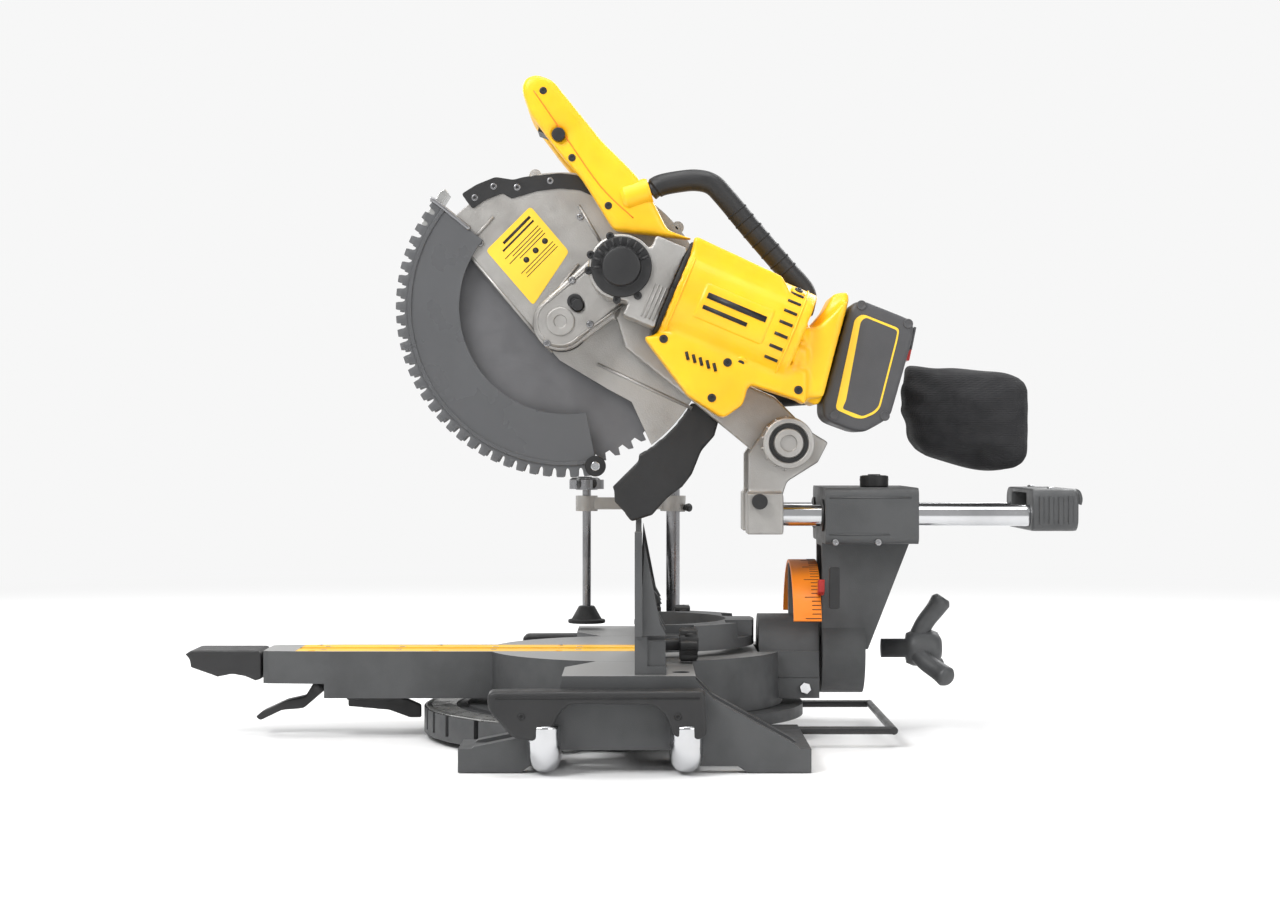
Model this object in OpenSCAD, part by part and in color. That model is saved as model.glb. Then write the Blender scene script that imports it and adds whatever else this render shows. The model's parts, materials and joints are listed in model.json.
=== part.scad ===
// Sliding compound mitre saw. +X is the operator's right, +Y the rear, +Z up.
// The origin is on the mitre pivot axis at bench level.

/* [Base and table] */
// Height of the table above the bench
table_z = 90; // [86:1:96]
// Radius of the turntable
table_r = 156; // [150:1:157]
// Distance from the centre to the end of a wing
wing_x = 300; // [290:1:306]
// Bench bolt hole spacing, left to right
bolt_dx = 520; // [500:2:530]
// Bench bolt hole spacing, front to rear
bolt_dy = 274; // [264:2:284]
// Diameter of a bench bolt hole
bolt_d = 9; // [7:0.5:10]
// Half-width of the turntable arm
arm_hw = 44; // [40:1:45]

/* [Fence] */
// Top of the fixed lower fence above the bench
fence_low_z = 126; // [120:1:127]
// Top of the sliding upper fence above the bench
fence_top_z = 224; // [200:1:226]

/* [Blade and drive] */
// Diameter of the saw blade
blade_d = 305; // [290:1:306]
// Number of teeth on the blade
teeth = 60; // [40:2:72]
// Cutting width of a tooth
kerf = 2.6; // [2:0.2:3.2]
// Downward tilt of the motor axis in degrees
motor_tilt = 22.9; // [20:0.1:25]
// Outer radius of the motor housing
motor_r = 54; // [50:1:54]

/* [Slide] */
// Radius of a slide rail
rail_r = 11; // [9:0.5:11]
// Distance of a rail from the middle
rail_x = 60; // [58:1:62]
// Height of the rails above the bench
rail_z = 233; // [231:1:236]

/* [Hidden] */
$fn = 64;
eps = 0.1;
run = 0.05; // radial running clearance
spin_y = -78;
spin_z = 435;
guard_y = -73;
guard_z = 452;
jack_y = -14;
jack_z = 487;
chop_y = 158;
chop_z = 308;
motor_x = 74;
blade_r = blade_d / 2;
guard_r = blade_r + 27.5;
clamp_x = -262;
dark = [0.30, 0.30, 0.31];
black = [0.11, 0.11, 0.12];
yellow = [0.99, 0.76, 0.10];
silver = [0.68, 0.66, 0.65];
chrome = [0.86, 0.86, 0.88];

// Side outline (Y, Z) carried from x0 to x1
module side(x0, x1) translate([x0, 0, 0]) rotate([90, 0, 90]) linear_extrude(x1 - x0) children();
// Front outline (X, Z) carried from y0 to y1
module front(y0, y1) translate([0, y1, 0]) rotate([90, 0, 0]) linear_extrude(y1 - y0) children();
module flat(z0, z1) translate([0, 0, z0]) linear_extrude(z1 - z0) children();
module rod_x(r, x0, x1, y, z) translate([x0, y, z]) rotate([0, 90, 0]) cylinder(r = r, h = x1 - x0);
module rod_y(r, x, y0, y1, z) translate([x, y0, z]) rotate([-90, 0, 0]) cylinder(r = r, h = y1 - y0);
module rod_z(r, x, y, z0, z1) translate([x, y, z0]) cylinder(r = r, h = z1 - z0);
module box(a, b) translate(a) cube(b - a);
module both() {
  children();
  mirror([1, 0, 0]) children();
}
// Pie slice from angle a0 to a1
module slice(r, a0, a1) {
  steps = 8;
  polygon(concat([[0, 0]], [for (i = [0:steps]) let (a = a0 + (a1 - a0) * i / steps)
    [r * cos(a), r * sin(a)]]));
}
// Local frame of the motor: +Z runs down to the rear along its axis
module on_motor() translate([motor_x, jack_y, jack_z]) rotate([-90 - motor_tilt, 0, 0]) children();

// --- base ---
module wing_outline() polygon([[130, -28], [212, -68], [wing_x, -68], [wing_x, 57], [130, 57]]);
module cheek_outline() polygon([[-165, 0], [-165, 12], [-150, 24], [-100, 34], [-74, 62], [-68, 86],
  [57, 86], [74, 68], [148, 27], [165, 14], [165, 0], [106, 0], [96, 6], [42, 6], [42, 21],
  [-77, 21], [-77, 6], [-98, 6], [-106, 0]]);
module bolt_holes(r, z0, z1)
  for (x = [-1, 1], y = [-1, 1]) rod_z(r, x * bolt_dx / 2, y * bolt_dy / 2, z0, z1);
detents = [-45, -31.6, -22.5, -15, 0, 15, 22.5, 31.6, 45, 60];
module base_casting() color(dark) difference() {
  union() {
    rod_z(178, 0, 0, 22, 34);
    flat(24, 31) intersection() { circle(224); rotate(-90) slice(300, -60, 68); }
    flat(5, 31) intersection() {
      difference() { circle(224); circle(216); }
      rotate(-90) slice(300, -60, 68);
    }
    both() {
      flat(78, table_z) wing_outline();
      side(wing_x - 16, wing_x) cheek_outline();
      side(236, 252) cheek_outline();
      flat(34 - eps, 79) intersection() {
        difference() { circle(176); circle(table_r + 3); }
        polygon([[130, -28], [180, -50], [180, 57], [130, 57]]);
      }
      box([170, -30, 22], [240, 30, 34]);
      box([230, -165, 12], [wing_x, -106, 22]);
      box([112, 106, 10], [wing_x, 165, 22]);
      box([230, -165, 0], [wing_x, -106, 6]);
      box([230, 106, 0], [wing_x, 165, 6]);
      for (y = [-1, 1]) rod_z(11, bolt_dx / 2, y * bolt_dy / 2, 0, 20);
    }
  }
  rod_z(table_r + 0.6, 0, 0, 34, 200);
  rod_z(12.3, 0, 0, 0, 40);
  bolt_holes(bolt_d / 2, -1, 40);
  for (y = [-88.5, 53]) rod_x(10.6, -400, 400, y, 21.5);
  for (a = detents) rotate(a - 90) box([211, -3.5, 10], [230, 3.5, 32]);
  rod_z(8.3, clamp_x, 44, 60, 95);
  rod_z(8.3, -clamp_x, 44, 60, 95);
  for (x = [-250, -170, 170, 250]) rod_z(3.2, x, 16, 70, 95);
}
module mitre_scale() color(silver) flat(31, 32.5) intersection() {
  difference() { circle(222); circle(190); }
  rotate(-90) slice(300, -58, 66);
}
module fence_lower() color(silver) difference() {
  union() {
    both() {
      box([28, 0, table_z], [288, 12, fence_low_z]);
      box([110, 12, table_z], [288, 30, table_z + 8]);
      for (x = [120, 165, 240, 280]) box([x, 11, table_z + 7], [x + 5, 29, fence_low_z - 4]);
      for (x = [170, 250]) rod_z(3, x, 16, 78, table_z + 8);
    }
    flat(table_z + 6, fence_low_z - 4) difference() {
      intersection() { circle(126); translate([-200, 2]) square([400, 200]); }
      circle(96);
    }
  }
  rod_z(11, clamp_x, 44, 80, 140);
  rod_z(11, -clamp_x, 44, 80, 140);
  both() {
    rod_y(6.2, 165, -5, 40, 108);
    front(-1, 13) polygon([[20, table_z - 1], [24, table_z], [64, fence_low_z + 1], [20, fence_low_z + 1]]);
    box([96, 18, 113], [131, 60, 130]);
    box([28, 94, 106], [68, 130, 130]);
  }
}
module pivot_bolt() color(chrome) {
  rod_z(12, 0, 0, 22, 54);
  rod_z(20, 0, 0, 15, 21.9);
}
module rear_stand() color(black) {
  rod_x(4, -124, 124, 262, 17);
  both() rod_y(4, 120, 165.1, 262, 17);
}
// Upper fence, right side: a sloped plate with a brace behind it
module fence_upper() difference() {
  union() {
    front(0, 7) polygon([[95, fence_low_z + 0.5], [150, 157], [272, fence_top_z], [300, fence_top_z],
      [300, fence_low_z + 0.5]]);
    for (x = [150, 215, 285]) side(x, x + 6)
      polygon([[6, fence_low_z + 0.5], [30, fence_low_z + 0.5], [24, 138], [9, 154 + (x - 150) * 0.45], [6, 154]]);
  }
  front(-1, 50) for (x = [175, 240]) hull() {
    translate([x, 140]) circle(5, $fn = 24);
    translate([x + 28, 146 + (x - 175) * 0.35]) circle(7, $fn = 24);
  }
}
module fence_upper_right() color(silver) fence_upper();
module fence_upper_left() color(silver) mirror([1, 0, 0]) fence_upper();
module fence_knob() {
  rod_y(6, 165, 1, 44, 108);
  rod_y(15, 165, 44, 62, 108);
  for (a = [0:60:300]) translate([165, 0, 108]) rotate([0, a, 0]) rod_y(5, 13, 45, 61, 0);
}
module fence_knob_right() color(black) fence_knob();
module fence_knob_left() color(black) mirror([1, 0, 0]) fence_knob();
module support() difference() {
  side(wing_x + 6, wing_x + 34) polygon([[-158, 58], [-158, 36], [-122, 5], [-100, 2], [-74, 2], [-66, 24],
    [28, 24], [38, 2], [66, 2], [66, table_z - 38], [58, table_z - 30], [-150, table_z - 30]]);
  for (y = [-88.5, 53]) {
    rod_x(10.6, wing_x, wing_x + 40, y, 21.5);
    rod_z(10.6, wing_x + 20, y, -1, 22);
  }
  box([wing_x, -60, 34], [wing_x + 12, 40, table_z - 38]);
}
module support_right() color(black) support();
module support_left() color(black) mirror([1, 0, 0]) support();
module support_tubes() for (y = [-88.5, 53]) {
  rod_x(10.5, 206, wing_x + 20, y, 21.5);
  rod_z(10.5, wing_x + 20, y, 1, 21.5);
  translate([wing_x + 20, y, 21.5]) sphere(10.5);
}
module support_tubes_right() color(chrome) support_tubes();
module support_tubes_left() color(chrome) mirror([1, 0, 0]) support_tubes();
// --- work clamp ---
module clamp_post() color(chrome) rod_z(8, clamp_x, 44, 62, 262);
module clamp_arm() color(black) difference() {
  union() {
    rod_z(15, clamp_x, 44, 229, 247);
    rod_z(13, clamp_x, -58, 229, 247);
    box([clamp_x - 9, -58, 231], [clamp_x + 9, 44, 245]);
  }
  rod_z(8.05, clamp_x, 44, 200, 300);
  rod_z(5.05, clamp_x, -58, 200, 300);
  rod_y(3.05, clamp_x, 44, 70, 238);
}
module clamp_screw() color(chrome) {
  rod_z(5, clamp_x, -58, 113, 256);
  color(black) {
    rod_z(13, clamp_x, -58, 254, 268);
    for (a = [0:72:288]) translate([clamp_x, -58, 0]) rotate(a) rod_z(8, 13, 0, 255, 266);
  }
}
module clamp_pad() color(black) difference() {
  union() {
    translate([clamp_x, -58, 101]) cylinder(r1 = 18, r2 = 9, h = 16);
    rod_z(22, clamp_x, -58, 96.6, 101);
  }
  rod_z(5.05, clamp_x, -58, 112.9, 120);
}
// --- turntable ---
module arm_outline() polygon([[-arm_hw, 0], [-arm_hw, -320], [-38, -385], [-34, -391], [34, -391], [38, -385],
  [arm_hw, -320], [arm_hw, 0]]);
module turntable() color(dark) difference() {
  union() {
    rod_z(table_r, 0, 0, 34.5, table_z);
    flat(41, table_z) arm_outline();
    box([-42, 0, 41], [42, 193, 62]);
  }
  difference() {
    rod_z(148, 0, 0, 34, 80);
    rod_z(24, 0, 0, 30, 50);
    box([-40, -160, 30], [40, 160, 90]);
    for (a = [20, 55, 90, 125, 160]) rotate(a) box([-160, -3, 30], [160, 3, 90]);
  }
  rod_z(12.1, 0, 0, 30, 55);
  box([-30, -322, 50.5], [30, 52, 95]);
  box([-38.1, -357, table_z - 3], [38.1, 33, 95]);
  box([-60, -400, 36], [60, -326, 56]);
  box([-20, -318, 40], [20, -170, 46]);
  box([-45, 128, 62], [45, 200, 95]);
}
module kerf_plate() difference() {
  box([6.5, -356.9, table_z - 2.9], [38, 32.9, table_z]);
  for (y = [-340, -210, -80, 20]) {
    rod_z(2.3, 34, y, 80, 95);
    rod_z(4.2, 34, y, table_z - 1.5, 95);
  }
}
module kerf_plate_right() color(yellow) kerf_plate();
module kerf_plate_left() color(yellow) mirror([1, 0, 0]) kerf_plate();
module bevel_support() color(dark) difference() {
  union() {
    rod_y(37, 0, 130, 193, table_z);
    box([-40, 130, 62.1], [40, 193, table_z]);
    side(-4, 4) polygon([[163, 110], [163, 181], [193, 181], [193, 110]]);
  }
  rod_y(14.1, 0, 120, 200, table_z);
  box([-60, 120, 30], [60, 200, 62.1]);
}
module bevel_scale() color([0.96, 0.55, 0.12]) front(163, 192) translate([0, table_z]) intersection() {
  difference() { circle(94.5); circle(91.2); }
  slice(150, 22, 158);
}
module mitre_grip() color(black) side(-32, 32)
  polygon([[-470, 82], [-474, 86], [-468, 90], [-396, 90], [-393, 84], [-393, 60], [-400, 58], [-412, 63],
    [-425, 65], [-440, 62], [-468, 72]]);
module detent_lever() color(black) {
  difference() {
    side(-14, 14) polygon([[-341, 55], [-331, 55], [-330, 46], [-352, 27], [-375, 25], [-398, 14], [-403, 18],
      [-396, 24], [-372, 35], [-350, 40]]);
    rod_x(2.55, -30, 30, -336, 50);
  }
  rod_x(2.5, -16, 16, -336, 50);
}
module detent_latch() color(black) {
  side(-3, 3) polygon([[-306, 38], [-246, 38], [-228, 30], [-228, 16], [-240, 16], [-262, 24], [-306, 28]]);
  box([-16, -306, 36], [16, -246, 40.5]);
}
// --- tower ---
module tower() color(dark) difference() {
  union() {
    front(196, 292) offset(8) offset(-8)
      polygon([[-86, 204], [-86, 262], [86, 262], [86, 204]]);
    side(-40, 40) polygon([[196, 92], [196, 210], [290, 210], [244, 92]]);
    rod_y(47, 0, 196, 241, table_z);
  }
  for (x = [-rail_x, rail_x]) rod_y(14.05, x, 190, 300, rail_z);
  rod_y(14.1, 0, 190, 256, table_z);
  rod_z(4.1, 25, 252, 245, 270);
  box([-30, 165, 130], [30, 234, 200]);
}
module slide_bushes() color(silver) for (x = [-rail_x, rail_x], y = [197, 271]) difference() {
  rod_y(14, x, y, y + 20, rail_z);
  rod_y(rail_r + run, x, y - 1, y + 21, rail_z);
}
module bevel_knob() color(black) {
  rod_y(14, 0, 131, 266, table_z);
  rod_y(24, 0, 266, 292, table_z);
  for (a = [80, 200, 320]) translate([0, 0, table_z]) rotate([0, -a, 0]) {
    box([0, 275, -9], [48, 291, 9]);
    rod_y(14, 48, 273, 297, 0);
  }
}
module slide_lock_knob() color(black) {
  rod_z(4, 25, 252, 246, 264);
  rod_z(15, 25, 252, 262.1, 274);
}
// --- slide carriage ---
module rails() color(chrome) for (x = [-rail_x, rail_x]) rod_y(rail_r, x, 120, 450, rail_z);
module rail_end_cap() color(dark) difference() {
  front(409, 457) offset(14) offset(-14) translate([-84, 217]) square([168, 44]);
  for (x = [-rail_x, rail_x]) rod_y(rail_r + run, x, 400, 450.1, rail_z);
  for (x = [-45, -15, 15]) box([x, 408, 222], [x + 30, 440, 256]);
}
module ear_outline() {
  translate([chop_y, chop_z]) circle(28);
  polygon([[118, 250], [118, 298], [134, 322], [152, 334], [186, 318], [201, 309], [190, 288], [158, 268], [152, 250]]);
}
module head_bracket() color(silver) difference() {
  union() {
    both() side(46, 60) ear_outline();
    both() box([30, 116, 214], [84, 153, 256]);
    box([-84, 134, 214], [84, 153, 256]);
  }
  for (x = [-rail_x, rail_x]) rod_y(rail_r + run, x, 119.9, 160, rail_z);
  rod_x(8.5, -100, 100, chop_y, chop_z);
  rod_x(4.1, 50, 90, 128, 248);
}
module chop_pin() color(black) {
  rod_x(8.5, -60, 60, chop_y, chop_z);
  both() rod_x(12, 60, 64, chop_y, chop_z);
}
module head_lock_pin() color(black) {
  rod_x(4, 66, 92, 128, 248);
  rod_x(8, 84.5, 94, 128, 248);
}
// --- head ---
module on_jack() translate([jack_y, jack_z]) children();
module arm_profile() {
  translate([spin_y, spin_z]) circle(30);
  on_jack() circle(34);
  polygon([[-97, 458], [-36, 513], [8, 461], [-59, 412]]);
}
arm_side = [[-20, 440], [8, 506], [52, 505], [36, 466], [15, 414], [146, 357], [178, 325], [140, 286],
  [60, 352], [-10, 408]];
module gearcase() color(silver) difference() {
  union() {
    side(27, 33) arm_profile();
    side(27, 33) polygon(arm_side);
    side(33, 44) difference() {
      polygon(arm_side);
      offset(0.3) belt_outline(0);
    }
    rod_x(26, -43, 44, chop_y, chop_z);
    rod_x(29.5, 14.2, 33, spin_y, spin_z);
    rod_x(34, 54, 112, jack_y, jack_z);
    on_motor() translate([54 - motor_x, -44, 20]) cube([112 - 54, 88, 35]);
    side(43.9, 54.1) polygon([[16, 442], [22, 500], [48, 500], [36, 466], [24, 436]]);
  }
  rod_x(19.05, 20, 34, spin_y, spin_z);
  rod_x(12, 10, 34, spin_y, spin_z);
  rod_x(11.05, 26, 112, jack_y, jack_z);
  rod_x(28, 66, 103, jack_y, jack_z);
  rod_x(8.5 + run, -50, 50, chop_y, chop_z);
  rod_x(18, -43.1, -18, chop_y, chop_z);
  on_motor() cylinder(r = 13, h = 60);
}
module belt_outline(grow) hull() {
  translate([spin_y, spin_z]) circle(27 + grow, $fn = 48);
  on_jack() circle(24 + grow, $fn = 48);
}
module belt_cover() color(silver) difference() {
  side(33.1, 53.8) belt_outline(0);
  side(33, 51) belt_outline(-2.5);
  rod_x(7, 50, 60, jack_y, jack_z);
  rod_x(6.3, 50, 60, -60, 452);
}
module gear_cap() color(black) difference() {
  union() {
    rod_x(31, 112.1, 117, jack_y, jack_z);
    rod_x(20, 116, 123, jack_y, jack_z);
  }
  rod_x(11, 112, 116, jack_y, jack_z);
}
module ring_x(r0, r1, x0, x1, y, z) difference() {
  rod_x(r1, x0, x1, y, z);
  rod_x(r0, x0 - 1, x1 + 1, y, z);
}
module bearings() color(chrome) {
  ring_x(10.05, 19, 20.1, 32, spin_y, spin_z);
  ring_x(6.05, 11, 54.1, 65, jack_y, jack_z);
  ring_x(6.05, 11, 104, 111, jack_y, jack_z);
}
module drive_belt() color(black) side(36, 44) difference() {
  hull() {
    translate([spin_y, spin_z]) circle(22.5, $fn = 48);
    on_jack() circle(20.5, $fn = 48);
  }
  hull() {
    translate([spin_y, spin_z]) circle(20.2, $fn = 48);
    on_jack() circle(18.2, $fn = 48);
  }
}
module guard_region() polygon([[-187, 540], [-192, 523], [-171, 501], [-80, 396], [-30, 366], [-4, 352],
  [20, 300], [120, 330], [120, 650], [-260, 650]]);
module upper_guard() color(silver) difference() {
  union() {
    both() side(14.4, 17) intersection() {
      translate([spin_y, spin_z]) circle(160, $fn = 120);
      guard_region();
    }
    side(-15, 15) intersection() {
      difference() {
        translate([spin_y, spin_z]) circle(160, $fn = 120);
        translate([spin_y, spin_z]) circle(157, $fn = 120);
      }
      guard_region();
    }
    rod_x(34, -26, -14.4, guard_y, guard_z);
  }
  rod_x(30, 10, 20, spin_y, spin_z);
  rod_x(30, -30, -10, guard_y, guard_z);
}
skirt = [[8, 417], [54, 356], [90, 333], [110, 347], [116, 368], [166, 352], [174, 346], [176, 424],
  [150, 478], [60, 520], [54, 420]];
module motor_housing() color(yellow) difference() {
  union() {
    on_motor() translate([0, 0, 58]) cylinder(r = motor_r, h = 139);
    side(62, 112) polygon(skirt);
    box([-44, 86, 458], [34, 104, 490]);
  }
  on_motor() translate([0, 0, 57]) cylinder(r = motor_r - 3.5, h = 136);
  side(65, 109) offset(-3) polygon(skirt);
  on_motor() translate([54 - motor_x - 1, -45, 10]) cube([60, 90, 45.5]);
  for (a = [0:30:330]) on_motor() rotate(a) translate([-3, 20, 180]) cube([6, 26, 40]);
}
module motor_stator() color([0.45, 0.25, 0.15]) on_motor() translate([0, 0, 84]) difference() {
  cylinder(r = 46, h = 62);
  translate([0, 0, -1]) cylinder(r = 29, h = 64);
  for (a = [0:40:320]) rotate(a) translate([27, -3, -1]) cube([12, 6, 64]);
}
module handle_outline() polygon([[-103, 694], [-114, 691], [-120, 680], [-110, 652], [-80, 612], [-55, 583],
  [-22, 530], [66, 520], [34, 531], [20, 560], [2, 588], [-35, 625], [-86, 688]]);
module front_half() polygon([[-160, 720], [-130, 720], [22, 525], [22, 440], [-160, 440]]);
module grip_window() side(-27, 27)
  polygon([[-200, 430], [-200, 590], [-108, 646], [-70, 672], [-10, 640], [100, 560], [100, 430]]);
module handle_shape() difference() {
  union() {
    side(-52, 52) handle_outline();
    side(-44, -28) polygon([[-10, 534], [50, 524], [104, 496], [104, 491], [80, 491], [10, 520]]);
  }
  grip_window();
  rod_x(7.3, 40, 53, -80, 630);
}
module handle_front() color(yellow) intersection() {
  handle_shape();
  side(-60, 60) front_half();
}
module handle_rear() color(yellow) difference() {
  handle_shape();
  side(-60, 60) offset(0.05) front_half();
}
module carry_handle() color(black) difference() {
  side(30, 54) polygon([[14, 578], [24, 589], [44, 593], [64, 595], [80, 594], [92, 588], [104, 572],
    [176, 491], [188, 474], [190, 462], [176, 430], [168, 446], [146, 484], [84, 560], [72, 570], [58, 571],
    [34, 568], [22, 562]]);
  on_motor() translate([0, 0, 50]) cylinder(r = motor_r + 0.2, h = 148);
}
module battery_foot() color(yellow) side(-4, 84)
  polygon([[186, 346], [191.5, 351], [218.5, 448], [221, 458], [219, 464], [204, 462], [196, 446], [177, 424],
    [177, 352]]);
module dust_chute() color(black) difference() {
  side(-16, 16) polygon([[9, 362], [1, 330], [4, 290], [-24, 262], [-22, 246], [-4, 225], [18, 232], [34, 250],
    [50, 262], [60, 275], [70, 300], [84, 316], [88, 330], [76, 345], [40, 360]]);
  side(-13, 13) polygon([[16, 352], [8, 328], [12, 290], [-18, 262], [-30, 254], [-30, 240], [-3, 228], [16, 240],
    [46, 266], [62, 302], [76, 320], [72, 336], [40, 350]]);
  rod_x(161, -20, 20, spin_y, spin_z);
}
module duct_place() translate([-24, 93, 360]) rotate([-86, 0, 10]) children();
module dust_duct() color(black) duct_place() difference() {
  union() {
    cylinder(r = 17, h = 190);
    translate([0, 0, 170]) cylinder(r = 20, h = 12);
  }
  translate([0, 0, -1]) cylinder(r = 14.5, h = 200);
}
module dust_bag() color(black) hull() {
  translate([-58, 290, 372]) rotate([-95, 0, 0]) cylinder(r = 22, h = 4, $fn = 32);
  for (x = [-90, -26], z = [300, 362]) translate([x, 404, z]) sphere(r = 22, $fn = 20);
  for (x = [-84, -32]) translate([x, 320, 316]) sphere(r = 22, $fn = 20);
}
// --- turning parts ---
module blade() color(silver) difference() {
  side(-kerf / 2, kerf / 2) translate([spin_y, spin_z]) polygon([for (i = [0:teeth - 1]) let (a = -i * 360 / teeth)
    each [[blade_r * cos(a), blade_r * sin(a)], [(blade_r - 1.6) * cos(a - 2), (blade_r - 1.6) * sin(a - 2)],
      [(blade_r - 9) * cos(a - 3.4), (blade_r - 9) * sin(a - 3.4)],
      [(blade_r - 8) * cos(a - 5.4), (blade_r - 8) * sin(a - 5.4)]]]);
  rod_x(15, -5, 5, spin_y, spin_z);
}
module arbor() color(chrome) {
  rod_x(10, -6, 47, spin_y, spin_z);
  rod_x(15 - run, -kerf / 2, kerf / 2, spin_y, spin_z);
  rod_x(22, kerf / 2, 8, spin_y, spin_z);
  rod_x(22, -8, -kerf / 2, spin_y, spin_z);
  rod_x(8, -16, -6, spin_y, spin_z, $fn = 64);
  rod_x(20, 36, 44, spin_y, spin_z);
}
module bevel_teeth(r, count, depth) for (i = [0:count - 1]) rotate(i * 360 / count)
  translate([r - 9, -0.7, -1]) cube([12, 1.4, depth]);
module jackshaft() color(chrome) {
  rod_x(6, 34, 110.9, jack_y, jack_z);
  rod_x(18, 36, 44, jack_y, jack_z);
  translate([84.3, jack_y, jack_z]) rotate([0, 90, 0]) difference() {
    cylinder(r1 = 26, r2 = 20, h = 15);
    translate([0, 0, -0.1]) bevel_teeth(26, 26, 3.2);
  }
}
module rotor() color(silver) on_motor() {
  difference() {
    translate([0, 0, 26.3]) cylinder(r1 = 10, r2 = 11.5, h = 5);
    translate([0, 0, 26]) bevel_teeth(11, 10, 3);
  }
  translate([0, 0, 30]) cylinder(r = 5, h = 160);
  translate([0, 0, 84]) cylinder(r = 28.4, h = 62);
  translate([0, 0, 156]) cylinder(r = 42, h = 4);
  for (a = [0:30:330]) rotate(a) translate([16, -1, 159]) cube([24, 2, 12]);
}
module guard_slice() translate([guard_y, guard_z]) slice(320, 141, 281);
module guard_disc(r) translate([guard_y, guard_z]) circle(r, $fn = 120);
module lower_guard() color([0.35, 0.35, 0.36]) difference() {
  union() {
    side(20, 22.4) intersection() { difference() { guard_disc(guard_r); guard_disc(113); } guard_slice(); }
    side(-22.4, -20) intersection() { guard_disc(guard_r); guard_slice(); }
    side(-21, 21) intersection() {
      difference() { guard_disc(guard_r); guard_disc(guard_r - 2.6); }
      guard_slice();
    }
    rod_x(42, -26, -20, guard_y, guard_z);
    rod_x(5, 22, 31, -42, 284);
  }
  rod_x(34 + run, -30, -18, guard_y, guard_z);
}

module guard_roller() color(black) difference() {
  rod_x(11, 23, 30.5, -42, 284);
  rod_x(5.05, 22, 40, -42, 284);
}
// --- controls ---
module trigger() color(black) {
  side(-22, 22) polygon([[-101, 645], [-79, 660], [-69, 655], [-73, 646], [-92, 634], [-103, 638]]);
  rod_x(3, -26.8, 26.8, -72, 654);
}
module lock_off_button() color(black) rod_x(7, 46, 57, -80, 630);
module spindle_lock() color(black) rod_x(6, 49.5, 58, -60, 452);
module battery() color(dark) difference() {
  side(-4, 84) polygon([[220, 447], [226, 454], [236, 455], [288, 434], [286, 415], [264, 338], [256, 330],
    [236, 319], [226, 320], [199, 330], [193, 337], [193, 350]]);
  side(27.5, 52.5) polygon([[276, 412], [292, 408], [288, 392], [272, 396]]);
}
module battery_button() color([0.7, 0.1, 0.1]) side(28, 52) polygon([[281, 410], [289, 408], [286, 394], [278, 396]]);

base_casting();
mitre_scale();
fence_lower();
pivot_bolt();
rear_stand();
fence_upper_left();
fence_upper_right();
fence_knob_left();
fence_knob_right();
support_left();
support_right();
support_tubes_left();
support_tubes_right();
clamp_post();
clamp_arm();
clamp_screw();
clamp_pad();
turntable();
kerf_plate_left();
kerf_plate_right();
bevel_support();
bevel_scale();
mitre_grip();
detent_lever();
detent_latch();
tower();
slide_bushes();
bevel_knob();
slide_lock_knob();
rails();
rail_end_cap();
head_bracket();
chop_pin();
head_lock_pin();
gearcase();
belt_cover();
gear_cap();
bearings();
drive_belt();
upper_guard();
motor_housing();
motor_stator();
handle_front();
handle_rear();
carry_handle();
battery_foot();
dust_chute();
dust_duct();
dust_bag();
blade();
arbor();
jackshaft();
rotor();
lower_guard();
guard_roller();
trigger();
lock_off_button();
spindle_lock();
battery();
battery_button();
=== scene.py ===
import json
import math

import bmesh
import bpy
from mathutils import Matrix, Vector


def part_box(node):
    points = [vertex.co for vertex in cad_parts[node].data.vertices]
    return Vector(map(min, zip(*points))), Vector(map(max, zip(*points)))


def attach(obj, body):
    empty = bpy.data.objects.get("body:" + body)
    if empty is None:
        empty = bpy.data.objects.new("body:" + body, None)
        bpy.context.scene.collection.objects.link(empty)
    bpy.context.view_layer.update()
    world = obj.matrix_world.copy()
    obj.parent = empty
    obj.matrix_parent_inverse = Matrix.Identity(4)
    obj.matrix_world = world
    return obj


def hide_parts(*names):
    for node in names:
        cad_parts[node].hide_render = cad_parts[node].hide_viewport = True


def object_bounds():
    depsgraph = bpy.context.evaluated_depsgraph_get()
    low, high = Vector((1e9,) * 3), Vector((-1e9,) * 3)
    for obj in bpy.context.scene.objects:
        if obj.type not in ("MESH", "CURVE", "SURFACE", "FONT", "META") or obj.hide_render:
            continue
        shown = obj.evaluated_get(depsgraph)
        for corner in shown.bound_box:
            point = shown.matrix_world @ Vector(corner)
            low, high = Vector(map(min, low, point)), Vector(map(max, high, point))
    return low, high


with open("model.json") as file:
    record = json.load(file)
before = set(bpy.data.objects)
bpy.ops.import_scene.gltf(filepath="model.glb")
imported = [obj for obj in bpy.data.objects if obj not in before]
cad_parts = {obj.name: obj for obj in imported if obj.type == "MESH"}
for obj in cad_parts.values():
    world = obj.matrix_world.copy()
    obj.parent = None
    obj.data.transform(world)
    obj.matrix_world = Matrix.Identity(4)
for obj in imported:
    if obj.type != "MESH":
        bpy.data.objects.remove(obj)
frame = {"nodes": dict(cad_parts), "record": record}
CAD_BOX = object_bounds()

MM = 0.001
# Places in the CAD, in millimetres: (Y, Z) of an axis along X, or one coordinate.
SPINDLE = (-78, 435)
GUARD_CENTRE = (-73, 452)
JACK_CENTRE = (-14, 487)
CHOP_PIVOT = (158, 308)
MOTOR_X = 74
MOTOR_TILT = math.radians(22.9)
RAIL_X, RAIL_Z = 60, 233
BEVEL_Z = 90
CLAMP_X = -262
GUARD_FACE = 17
BELT_FACE = 53.8
BARREL_EARS = ((72, 62), (128, 62), (176, 62), (96, -58), (150, -50))
# The lower guard's sector, from its leading edge round to its tail.
GUARD_START, GUARD_END = math.radians(141.2), math.radians(280.8)
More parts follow.
